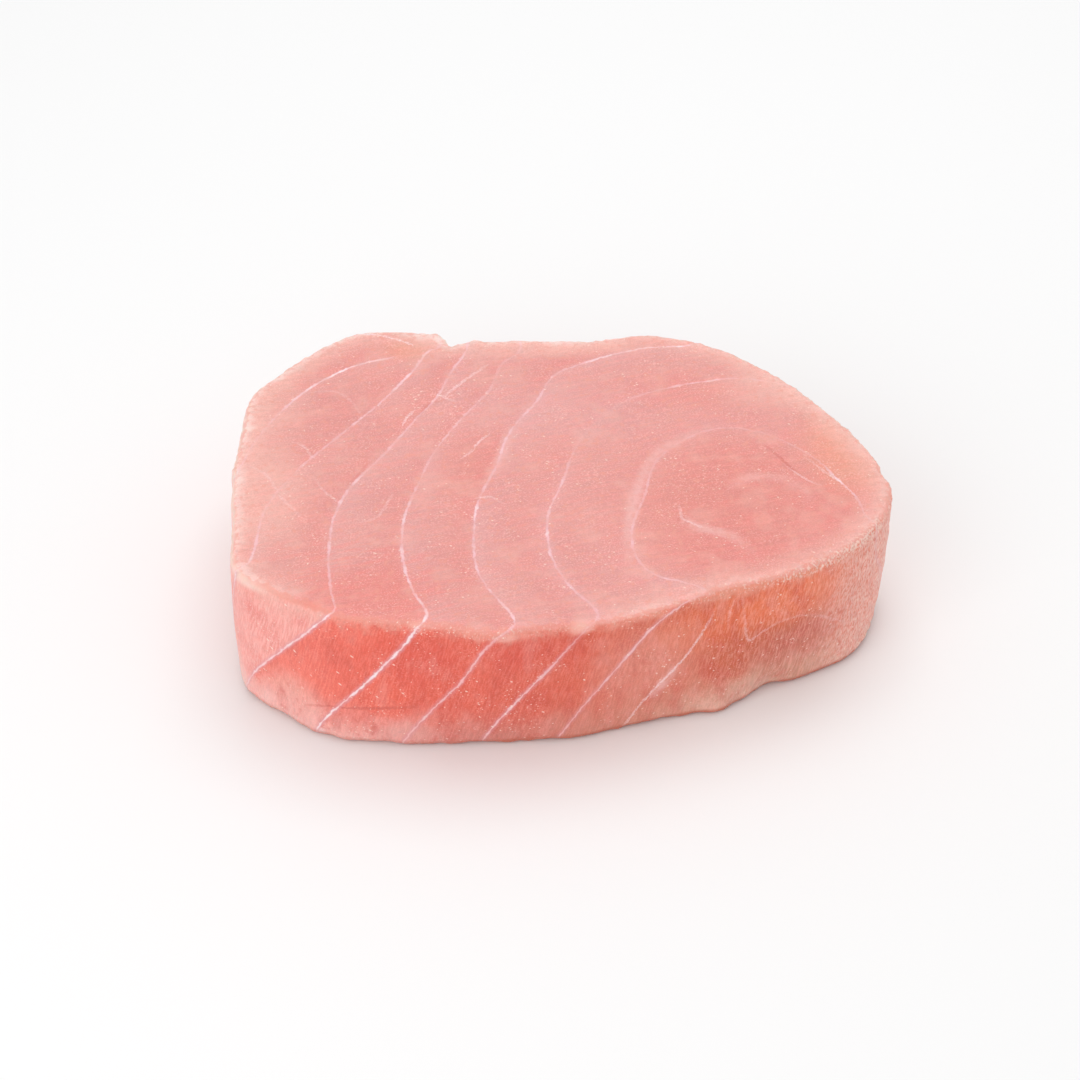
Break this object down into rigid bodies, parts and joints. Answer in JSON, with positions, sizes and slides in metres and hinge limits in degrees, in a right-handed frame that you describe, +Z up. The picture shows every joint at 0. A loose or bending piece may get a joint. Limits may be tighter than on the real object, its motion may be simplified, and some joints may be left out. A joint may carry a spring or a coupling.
{
  "type": "raw tuna steak",
  "caption": "Thick slice of raw tuna with an uneven rounded outline, flat cut faces and sheer cut sides, lying flat as food on a counter or plate.",
  "frame": {"origin": "middle of the steak's footprint, on the surface it rests on", "axes": "+X along the steak's length, towards its rounded right-hand end; +Y across it, away from the camera of the picture; +Z up through its thickness"},
  "size_m": [0.1198, 0.0906, 0.0281],
  "materials": {
    "raw_tuna_flesh": null
  },
  "bodies": {
    "root": {"tuna_steak": "raw_tuna_flesh"}
  },
  "joints": []
}
